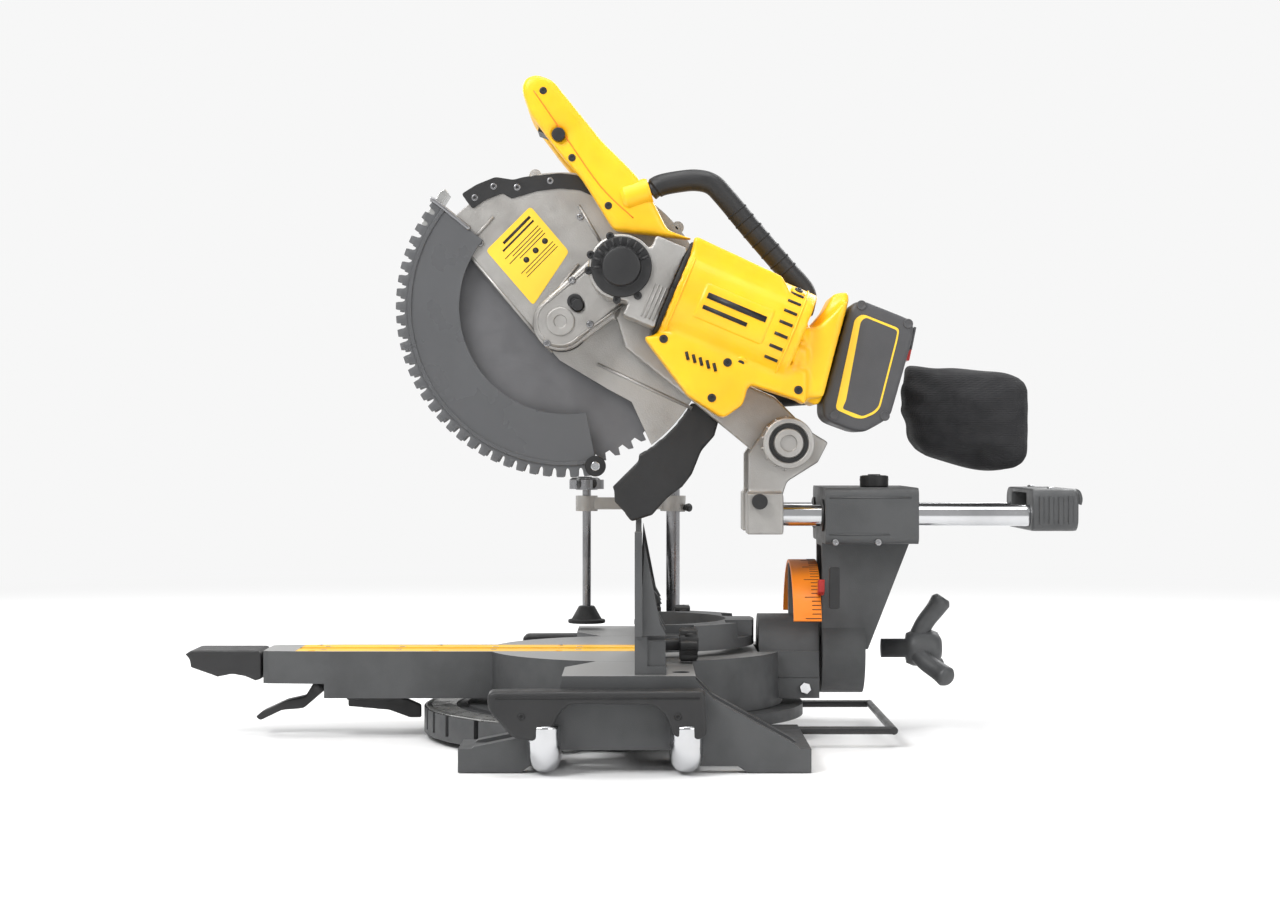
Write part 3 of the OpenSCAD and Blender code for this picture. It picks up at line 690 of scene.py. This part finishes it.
def motor_seams():
    """Raised bands, screw ears and screws of the motor housing."""
    bm = bmesh.new()
    for s in (66.0, 186.0):
        ring = [on_barrel(s, math.radians(a), 53.9)[0] for a in range(-60, 245, 5)]
        add_tube(bm, ring, 1.3, 8)
    new_piece("motor_bands", bm, "yellow_plastic", "head")
    bm = bmesh.new()
    for s, a in BARREL_EARS:
        p, d = on_barrel(s, math.radians(a), 51)
        turned(bm, p, d, [(0, 8), (4.2, 7.6), (4.8, 6.8), (4.8, 0)], 28)
    new_piece("motor_ears", bm, "yellow_plastic", "head")
    bm = bmesh.new()
    for s, a in BARREL_EARS:
        p, d = on_barrel(s, math.radians(a), 55.6)
        screw(bm, p, d, 4.4, 1.8)
    for p in ((111.8, 29, 414), (111.8, 94, 390), (111.8, 78, 354), (111.8, 166, 362)):
        screw(bm, p, (1, 0, 0), 4.4, 1.8)
    rounded("motor_screws", bm, "black_plastic", "head", 0.25, 30.0, 1)


def motor_badge():
    """A raised panel wrapped on the barrel, with two plain bars in place of lettering."""
    bm = bmesh.new()
    n_s, n_a = 14, 12
    grid = []
    for i in range(n_s + 1):
        row = []
        for j in range(n_a + 1):
            on_edge = min(i, n_s - i, j, n_a - j) == 0
            place_on = on_barrel(84 + 80 * i / n_s, math.radians(-22 + 44 * j / n_a),
                                 53.4 if on_edge else 54.7)
            row.append(bm.verts.new(place_on[0]))
        grid.append(row)
    for i in range(n_s):
        for j in range(n_a):
            bm.faces.new((grid[i][j], grid[i + 1][j], grid[i + 1][j + 1], grid[i][j + 1]))
    obj = new_piece("motor_badge", bm, "yellow_plastic", "head")
    solid = obj.modifiers.new("thick", "SOLIDIFY")
    solid.thickness = 0.8 * MM
    solid.offset = -1
    bm = bmesh.new()
    for a_mid, wide, s0, s1 in ((7, 3.2, 92, 156), (-6, 2.2, 92, 140)):
        v = [bm.verts.new(on_barrel(s, math.radians(a_mid + da), 54.95)[0])
             for s in (s0, s1) for da in (-wide, wide)]
        bm.faces.new((v[0], v[2], v[3], v[1]))
    obj = new_piece("motor_badge_bars", bm, "print_and_shade_black", "head")
    solid = obj.modifiers.new("thick", "SOLIDIFY")
    solid.thickness = 0.6 * MM


def motor_vents():
    """Cooling slots at the barrel's rear and on the skirt, drawn as raised black strips: painted shade
    standing in for the dark insides of the slots.
    """
    bm = bmesh.new()
    for angles, along in ((range(-30, 55, 14), (169, 174, 179, 183)),
                          (range(100, 166, 13), (160, 168, 176, 183))):
        for deg in angles:
            a = math.radians(deg)
            add_tube(bm, [on_barrel(s, a)[0] for s in along], 1.7, 10)
    for k in range(5):
        y = 52 + 7 * k
        add_tube(bm, [(112.0, y, 401 - 2.9 * k), (112.0, y + 2.0, 392.5 - 2.9 * k)], 1.7, 10)
    # the vent strips are painted shade: black where the slots' shaded insides would be
    new_piece("motor_vents", bm, "print_and_shade_black", "head")


def gearcase_details():
    """Black gasket between gearbox and motor, and the gearbox's cast ribs."""
    bm = bmesh.new()
    ring = [on_barrel(57.5, math.radians(a), 52.6)[0] for a in range(0, 360, 6)]
    add_tube(bm, ring + ring[:1], 2.6, 10)
    new_piece("gasket", bm, "black_rubber", "head")
    bm = bmesh.new()
    axis = Vector((0, math.cos(MOTOR_TILT), -math.sin(MOTOR_TILT)))
    up = Vector((0, math.sin(MOTOR_TILT), math.cos(MOTOR_TILT)))
    for k in range(4):
        p = Vector((112.0, *JACK_CENTRE)) + axis * (38 + 4.2 * k)
        add_tube(bm, [p - up * 38, p - up * 2], 1.0, 8)
    new_piece("gearbox_ribs", bm, "cast_alloy", "head")


# ---------------------------------------------------------------- handles
def handle_details():
    """Moulding seam down both sides of the D-handle, its screws and the carry tube's socket."""
    bm = bmesh.new()
    for sx in (-1, 1):
        path = smooth_path([(sx * 51.8, -106, 676), (sx * 51.9, -72, 627), (sx * 51.9, -36, 576),
                            (sx * 51.9, -2, 543)], 6)
        add_tube(bm, path, 0.7, 8)
    new_piece("handle_seam", bm, "orange_scale", "head")
    screws("handle_screws", [(51.6, -96, 676), (51.6, -66, 606), (51.6, -28, 556)], (1, 0, 0),
           "head", 4.0, 1.2, "black_plastic")
    lathe("carry_socket", (42, -14, 563), (0, 0.955, 0.295),
          [(0, 13), (4, 15.5), (28, 14.6), (31, 13.4), (31, 11.6), (26, 11.6)],
          "yellow_plastic", "head")


def carry_handle():
    """Bent round tube with a ribbed soft sleeve and flattened feet."""
    path = smooth_path([(42, y, z) for y, z in (
        (16, 571), (26, 578), (45, 582), (64, 583.5), (80, 579.5), (93, 567), (122, 532),
        (158, 490), (177, 467), (177, 452), (172, 438))])
    obj = tube("carry_tube", path, lambda t: 11.4 if 0.06 < t < 0.95 else 9.6,
               "black_plastic", "head", 28)
    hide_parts("carry_handle")
    bm = bmesh.new()
    for i in range(44, 58, 2):
        p, q = path[i], path[i + 1]
        d = (q - p).normalized()
        turned(bm, p, d, [(0, 11.2), (0.6, 11.95), (2.0, 11.95), (2.6, 11.2)], 28)
    new_piece("carry_ribs", bm, "black_rubber", "head")


# ---------------------------------------------------------------- battery and bag
def battery_details():
    """Yellow stripe round a plain side panel, corner screws and rear ribs."""
    edge = [(226, 436), (234, 441), (272, 426), (270, 414), (252, 344), (246, 338), (234, 333),
            (226, 334), (206, 343)]
    face = [(232, 433), (237, 437.5), (270, 424), (268, 414), (250.5, 346), (245, 340.5),
            (234, 335.5), (213, 343.5), (217, 352)]
    prism("battery_label", "x", 84.02, 84.6, fillet(edge, 4, 3), "label_yellow", "battery", 0.2)
    prism("battery_label_face", "x", 84.55, 84.8, fillet(face, 3, 3), "battery_plastic", "battery", 0.1)
    bm = bmesh.new()
    for y, z in ((233, 450), (281, 431), (257, 336), (205, 337)):
        turned(bm, (83.0, y, z), (1, 0, 0),
               [(0, 5.2), (1.8, 5.0), (2.2, 4.2), (1.4, 3.4), (1.4, 0)], 24)
    new_piece("battery_corners", bm, "battery_plastic", "battery")
    bm = bmesh.new()
    for x in (10, 26, 42, 58, 74):
        add_tube(bm, [(x, 289.2, 428), (x, 284.5, 405)], 1.5, 8)
    new_piece("battery_ribs", bm, "battery_plastic", "battery")


def dust_bag():
    """The cloth bag: the CAD's solid inflated a little as cloth, then wrinkled."""
    obj = linked("bag_cloth", frame["nodes"]["dust_bag"].data.copy())
    bpy.context.view_layer.objects.active = obj
    obj.modifiers.clear()
    rem = obj.modifiers.new("remesh", "REMESH")
    rem.mode = "VOXEL"
    rem.voxel_size = 0.005
    bake(obj)
    lo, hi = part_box("dust_bag")
    mid = (Vector(lo) + Vector(hi)) / 2
    for v in obj.data.vertices:
        v.co = mid + (v.co - mid) * 0.965
    start = [v.co.copy() for v in obj.data.vertices]
    furthest = 0.008
    settings = obj.modifiers.new("cloth", "CLOTH").settings
    settings.quality = 6
    settings.mass = 0.3
    settings.tension_stiffness = 12
    settings.compression_stiffness = 8
    settings.bending_stiffness = 0.6
    settings.use_pressure = True
    settings.uniform_pressure_force = 4.0
    settings.effector_weights.gravity = 0
    scene = bpy.context.scene
    for f in range(1, 21):
        scene.frame_set(f)
    bake(obj)
    scene.frame_set(1)
    for v, p in zip(obj.data.vertices, start):
        move = v.co - p
        if move.length > furthest:
            v.co = p + move.normalized() * furthest
    wrinkle(obj, mid)
    for v in obj.data.vertices:
        v.co = Vector([min(max(c, lo[i] - 0.004), hi[i] + 0.004) for i, c in enumerate(v.co)])
    sub = obj.modifiers.new("smooth", "SUBSURF")
    sub.levels = sub.render_levels = 1
    paint(obj, "bag_fabric")
    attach(obj, "head")
    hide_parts("dust_bag")


def wrinkle(obj, mid):
    """Soft folds running back from the bag's neck, and a raised seam down its middle."""
    for v in obj.data.vertices:
        d = v.co - mid
        back = (v.co.y - BAG_FRONT) / BAG_LENGTH
        fold = math.sin(d.z * 260 + 3.1 * math.sin(v.co.y * 38)) * math.cos(v.co.y * 31 + d.x * 22)
        n = Vector((d.x, d.y * 0.3, d.z)).normalized()
        v.co += n * fold * 0.0016 * (1.15 - 0.7 * back)
        seam = max(0.0, 1 - abs(d.x) / 0.004)
        v.co += n * 0.0014 * seam


def arbor_cover():
    """Left side cover over the blade's arbor nut, inside the guard's boss."""
    cy, cz = GUARD_CENTRE
    lathe("arbor_cover", (-17, cy, cz), (-1, 0, 0),
          [(0, 29.6), (6.5, 29.6), (8, 28.2), (8, 20), (6, 18.5), (6, 9), (8.4, 8), (8.4, 0)],
          "cast_alloy", "head", 56)
    bm = bmesh.new()
    for k in range(3):
        a = math.radians(90 + 120 * k)
        screw(bm, (-24.5, cy + 24 * math.cos(a), cz + 24 * math.sin(a)), (-1, 0, 0), 2.8, 1.6)
    new_piece("arbor_cover_screws", bm, "steel", "head")


# ---------------------------------------------------------------- rear slide, bracket and bevel parts
def end_cap_details():
    """Grip ribs on the end cap's sides, its cable hook and its screws."""
    bm = bmesh.new()
    for side in (-1, 1):
        for k in range(4):
            y = 416 + 10 * k
            rib = fillet([(y, 224), (y + 4.5, 224), (y + 4.5, 254), (y, 254)], 2, 3)
            add_prism(bm, "x", side * 83.8, side * 85.4, rib)
    rounded("end_cap_ribs", bm, "dark_metal", "carriage", 0.5, 35.0, 2)
    hook = [(40, y, z) for y, z in ((455, 256), (463, 257), (466, 250), (465, 244))]
    tube("end_cap_hook", smooth_path(hook, 6), 3.2, "dark_metal", "carriage", 12)
    for name, y, z, direction, radius, height in (
            ("end_cap_screws", 457, RAIL_Z, (0, 1, 0), 7.0, 3.0),
            ("end_cap_set", 432, 261, (0, 0, 1), 4.0, 1.8)):
        screws(name, [(RAIL_X, y, z), (-RAIL_X, y, z)], direction, "carriage", radius, height, "chrome")


def bracket_details():
    """Pivot rings, their rubber glands and short ribs on both sides of the head bracket."""
    y, z = CHOP_PIVOT
    lo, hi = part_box("head_bracket")
    for side, x, tag in ((1, hi[0] / MM, "right"), (-1, lo[0] / MM, "left")):
        lathe("pivot_ring_" + tag, (x - side * 0.4, y, z), (side, 0, 0),
              [(0, 26.5), (2.2, 26.5), (3.2, 25), (3.2, 21), (1.2, 20), (1.2, 15.5), (3.6, 14.5),
               (3.6, 8.6), (0.4, 8.2), (0.4, 0)], "cast_alloy", "carriage", 56)
        lathe("pivot_gland_" + tag, (x - side * 0.2, y, z), (side, 0, 0),
              [(0, 19.8), (1.9, 19.8), (1.9, 15.8), (0, 15.8)], "black_rubber", "carriage", 56)
        bm = bmesh.new()
        for k in range(8):
            a = math.radians(95 + 24 * k)
            d = spoke(a)
            p = Vector((x, y, z))
            add_tube(bm, [p + d * 24.5, p + d * 28.5], 1.4, 8)
        new_piece("bracket_ribs_" + tag, bm, "cast_alloy", "carriage")


def tower_details():
    """Bushing collars, panel lines and screws on the tower."""
    bm = bmesh.new()
    collar = [(0, 17), (1.8, 16.6), (2.4, 15.4), (2.4, 12.2), (-1, 12.2)]
    for x in (-RAIL_X, RAIL_X):
        for y, d in ((195.6, -1), (277.5, 1)):
            turned(bm, (x, y, RAIL_Z), (0, d, 0), collar, 40)
    new_piece("bush_collars", bm, "black_plastic", "tower")
    bm = bmesh.new()
    for side in (-1, 1):
        add_tube(bm, [(side * 86, 200, 252), (side * 86, 284, 252)], 0.9, 8)
        add_tube(bm, [(side * 86, 200, 214), (side * 86, 262, 214)], 0.9, 8)
    new_piece("tower_lines", bm, "dark_metal", "tower")
    screws("tower_screws", [(85.9, 206, 206), (85.9, 250, 206)], (1, 0, 0), "tower", 3.4, 1.6)


def bevel_handle():
    """Three-armed bevel lock knob on its shaft."""
    hub = Vector((0, 306, BEVEL_Z))
    bm = bmesh.new()
    profile = [(0, 10), (26, 10), (27, 16), (34, 19), (52, 20), (60, 17), (64, 10), (65, 0)]
    turned(bm, (0, 262, BEVEL_Z), (0, 1, 0), profile, 40)
    for a in (88, 208, 328):
        d = Vector((math.cos(math.radians(a)), 0, math.sin(math.radians(a))))
        path = smooth_path([hub + d * out + Vector((0, back, 0))
                            for out, back in ((8, -6), (26, 2), (42, 14), (54, 22))], 7)
        add_tube(bm, path, lambda t: (10.5 - 1.5 * math.sin(t * 3.1) + 1.5 * t
                                      - 4.5 * max(0, t - 0.86) / 0.14), 24)
    obj = new_piece("bevel_handle", bm, "dark_metal", "bevel_knob")
    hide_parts("bevel_knob")


def bevel_marks():
    """Degree lines on the bevel scale's outer face."""
    bm = bmesh.new()
    for step in range(45):
        a = math.radians(23.5 + 3 * step)
        d = Vector((math.cos(a), math.sin(a)))
        n = Vector((-d.y, d.x)) * 0.4
        quad = [d * 94.0 + n, d * 94.75 + n, d * 94.75 - n, d * 94.0 - n]
        length = 16 if step % 5 == 0 else 9
        add_prism(bm, "y", 191.5 - length, 191.5, [(p.x, BEVEL_Z + p.y) for p in quad])
    new_piece("bevel_marks", bm, "print_and_shade_black", "turntable")


def bevel_pointer():
    """Red pointer against the bevel scale, and a small black cover beside it."""
    pointer = fillet([(70, 150), (84, 154), (86, 168), (74, 166)], 2, 3)
    prism("bevel_pointer", "y", 188.5, 195.0, pointer, "red_plastic", "tower", 0.6)
    cover = fillet([(199, 138), (210, 138), (210, 181), (199, 181)], 2.5, 3)
    prism("stop_box", "x", 86.1, 92.0, cover, "black_plastic", "tower", 0.8)


# ---------------------------------------------------------------- base, table and fence
def rim_ticks():
    """Degree marks on the mitre scale."""
    lo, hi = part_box("mitre_scale")
    z = hi[2] / MM
    bm = bmesh.new()
    outer = max(-lo[1], hi[0]) / MM - 1.5
    for deg in range(-50, 51):
        a = math.radians(270 + deg)
        long_mark = 11 if deg % 10 == 0 else 8 if deg % 5 == 0 else 5
        inner = outer - long_mark
        d = Vector((math.cos(a), math.sin(a)))
        n = Vector((-d.y, d.x)) * 0.35
        quad = [d * inner + n, d * outer + n, d * outer - n, d * inner - n]
        add_prism(bm, "z", z - 0.05, z + 0.12, [(p.x, p.y) for p in quad])
    new_piece("mitre_marks", bm, "print_and_shade_black", "base")


def kerf_screws():
    """Countersunk screws along both kerf plates."""
    bm = bmesh.new()
    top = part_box("kerf_plate_left")[1][2] / MM
    for y in (-330, -250, -150, -60, 40, 110):
        for x in (-17, 17):
            turned(bm, (x, y, top - 0.6), (0, 0, 1),
                   [(0, 3.6), (0.75, 3.6), (0.75, 1.9), (0.2, 1.7), (0.2, 0)], 24)
    new_piece("kerf_screws", bm, "steel", "turntable")


def rubber_feet():
    """Pads under the four corners of the base."""
    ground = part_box("base_casting")[0][2] / MM
    bm = bmesh.new()
    for x in (-240, 240):
        for y in (-100, 130):
            turned(bm, (x, y, ground), (0, 0, 1), [(0.02, 13), (2.6, 14), (3.2, 12)], 32)
    new_piece("rubber_feet", bm, "black_rubber", "base")


def fence_details():
    """Fixing bolts in the lower fence, and one small screw in each upper fence."""
    screws("fence_bolts", [(-165, 5.0, 108), (165, 5.0, 108)], (0, -1, 0), "base", 5.6, 3.6)
    for x, tag, body in ((-290, "l", "fence_upper_left"), (290, "r", "fence_upper_right")):
        screws("fence_face_" + tag, [(x, 0.0, 140)], (0, -1, 0), body, 2.6, 0.6)


def knob_set():
    """Fluted knobs over the fence locks, the clamp screw and the slide lock."""
    for node in ("fence_knob_left", "fence_knob_right"):
        lo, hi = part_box(node)
        c = ((lo[0] + hi[0]) / 2 / MM, hi[1] / MM - 14, (lo[2] + hi[2]) / 2 / MM)
        r = (hi[2] - lo[2]) / 2 / MM + 0.6
        star_knob(node + "_grip", c, (0, 1, 0), "black_plastic", node, r, 14.0, 7)
    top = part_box("clamp_screw")[1][2] / MM
    star_knob("clamp_star", (CLAMP_X, -60, top - 12), (0, 0, 1), "black_plastic", "clamp_screw",
              19, 12.5, 6)
    lo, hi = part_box("slide_lock_knob")
    c = ((lo[0] + hi[0]) / 2 / MM, (lo[1] + hi[1]) / 2 / MM, hi[2] / MM - 8.6)
    r = (hi[0] - lo[0]) / 2 / MM + 0.3
    star_knob("slide_star", c, (0, 0, 1), "black_plastic", "slide_lock_knob", r, 9.0, 8)


def clamp_wing():
    """Wing knob that locks the clamp arm on its post."""
    bm = bmesh.new()
    z = 233
    turned(bm, (CLAMP_X, 50, z), (0, 1, 0), [(0, 5), (8, 5), (8.6, 4), (8.6, 0)], 24)
    for s in (-1, 1):
        path = smooth_path([(CLAMP_X + s * x, y, z) for x, y in ((3, 56), (8, 60), (12, 63))], 4)
        add_tube(bm, path, lambda t: 3.2 + 1.6 * t, 14)
    new_piece("clamp_wing", bm, "black_plastic", "clamp_arm")


def work_supports():
    """Black end bars, each over two bright bent tubes that run back into the base."""
    outline = fillet([(-136, 79), (66, 80), (67, 36), (46, 33), (37, 38), (28, 59), (17, 67), (-60, 68),
                      (-70, 59), (-80, 38), (-91, 33), (-112, 35), (-136, 63)], 7, 5)
    inset = fillet([(-128, 74), (60, 74), (60, 72), (-128, 72)], 1, 2)
    for side, tag in ((-1, "left"), (1, "right")):
        body = "support_" + tag
        lo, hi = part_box(body)
        near, far = (lo[0] / MM, hi[0] / MM) if side > 0 else (hi[0] / MM, lo[0] / MM)
        bm = bmesh.new()
        add_prism(bm, "x", near, far, outline, 0.8)
        obj = rounded("support_bar_" + tag, bm, "black_plastic", body, 3.2, 30.0, 4)
        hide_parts(body)
        bm = bmesh.new()
        add_prism(bm, "x", far - side * 0.6, far + side * 0.5, inset)
        for y in (-104, 40):
            screw(bm, (far - side * 0.4, y, 56), (side, 0, 0), 3.6, 1.4)
        new_piece("support_trim_" + tag, bm, "black_rubber", body)
        t_lo, t_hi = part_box("support_tubes_" + tag)
        z = (t_lo[2] + t_hi[2]) / 2 / MM
        inner = t_lo[0] / MM if side > 0 else t_hi[0] / MM
        radius = (t_hi[2] - t_lo[2]) / 2 / MM
        bm = bmesh.new()
        for y in (t_lo[1] / MM + radius, t_hi[1] / MM - radius):
            mid = (near + far) / 2
            bend = [(mid - side * back, y, z + rise)
                    for back, rise in ((18, 0), (10, 0.6), (3, 5), (0, 12), (0, 30))]
            path = [(inner, y, z), (mid - side * 20, y, z)] + smooth_path(bend, 5)
            add_tube(bm, path, radius, 28)
        obj = new_piece("support_rods_" + tag, bm, "chrome", body)
        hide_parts("support_tubes_" + tag)


def turntable_bolts():
    """A hex bolt on its washer at each side of the bevel support."""
    lo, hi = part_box("bevel_support")
    bm = bmesh.new()
    for side, x in ((1, hi[0] / MM), (-1, lo[0] / MM)):
        turned(bm, (x - side * 0.5, 178, 52), (side, 0, 0), [(0, 9), (1.4, 9), (1.4, 0)], 32)
        turned(bm, (x + side * 0.8, 178, 52), (side, 0, 0),
               [(0, 6.6), (5, 6.6), (5.8, 5.8), (5.8, 0)], 6)
    new_piece("turntable_bolts", bm, "chrome", "turntable", smooth=False)


for draw in (mouldings, lower_guard_shell, guard_lip, guard_hub, guard_sticker, guard_trim,
             guard_relief, drive_cover_details, gear_cap_details, motor_seams, motor_badge,
             motor_vents, gearcase_details, handle_details, carry_handle, battery_details, dust_bag,
             arbor_cover, end_cap_details, bracket_details, tower_details, bevel_handle, bevel_marks,
             bevel_pointer, rim_ticks, kerf_screws, rubber_feet, fence_details, knob_set, clamp_wing,
             work_supports, turntable_bolts):
    draw()


# ---------------------------------------------------------------- camera, light and floor
def camera():
    data = bpy.data.cameras.new("camera")
    data.lens = 63.3
    data.sensor_width = 36.0
    cam = linked("camera", data)
    cam.location = (2.4, 0.005, 0.301)
    cam.rotation_euler = (math.pi / 2, 0, math.pi / 2)
    bpy.context.scene.camera = cam


def area_light(name, where, aim, size, power):
    data = bpy.data.lights.new(name, "AREA")
    data.energy = power
    data.size = size
    lamp = linked(name, data)
    lamp.location = where
    lamp.rotation_euler = (Vector(aim) - Vector(where)).to_track_quat("-Z", "Y").to_euler()


def studio():
    """White surroundings, brighter to the camera than to the saw, and five soft lamps."""
    world = bpy.data.worlds.new("studio")
    bpy.context.scene.world = world
    world.use_nodes = True
    nt = world.node_tree
    back = nt.nodes["Background"]
    back.inputs["Color"].default_value = (1.0, 1.0, 1.0, 1.0)
    seen = add_node(nt, "LightPath").outputs["Is Camera Ray"]
    level = add_node(nt, "MapRange", {"To Min": 0.55, "To Max": BACKDROP, "Value": seen})
    nt.links.new(level.outputs["Result"], back.inputs["Strength"])
    bpy.context.scene.view_settings.view_transform = "Standard"
    for name, where, size, power in (
            ("key", (1.9, -1.5, 2.3), 1.1, 62), ("fill", (2.2, 1.9, 1.2), 1.6, 20),
            ("back", (-2.0, 1.4, 1.8), 1.4, 34), ("left", (-1.8, -1.6, 1.3), 1.4, 24),
            ("top", (0.2, 0.1, 2.6), 1.6, 30)):
        area_light(name, where, (0, 0.02, 0.3), size, power)


def floor():
    """A pale bench top that fades into the backdrop away from the saw."""
    bm = bmesh.new()
    bmesh.ops.create_circle(bm, cap_ends=True, segments=96, radius=14.0)
    obj = from_bmesh("floor", bm)
    obj.location.z = CAD_BOX[0][2] - 0.0008
    mat = bpy.data.materials.new("floor")
    mat.use_nodes = True
    nt = mat.node_tree
    bsdf = nt.nodes["Principled BSDF"]
    bsdf.inputs["Base Color"].default_value = (0.90, 0.90, 0.90, 1)
    bsdf.inputs["Roughness"].default_value = 0.75
    away = add_node(nt, "VectorMath", {0: add_node(nt, "NewGeometry").outputs["Position"]},
                    operation="LENGTH").outputs["Value"]
    fade = add_node(nt, "MapRange", {"From Min": 0.6, "From Max": 3.2, "Value": away},
                    interpolation_type="SMOOTHSTEP")
    glow = add_node(nt, "Emission", {"Color": (BACKDROP, BACKDROP, BACKDROP, 1)})
    mix = add_node(nt, "MixShader", {0: fade.outputs["Result"], 1: bsdf.outputs["BSDF"],
                                     2: glow.outputs["Emission"]})
    nt.links.new(mix.outputs["Shader"], nt.nodes["Material Output"].inputs["Surface"])
    obj.data.materials.append(mat)


camera()
studio()
floor()
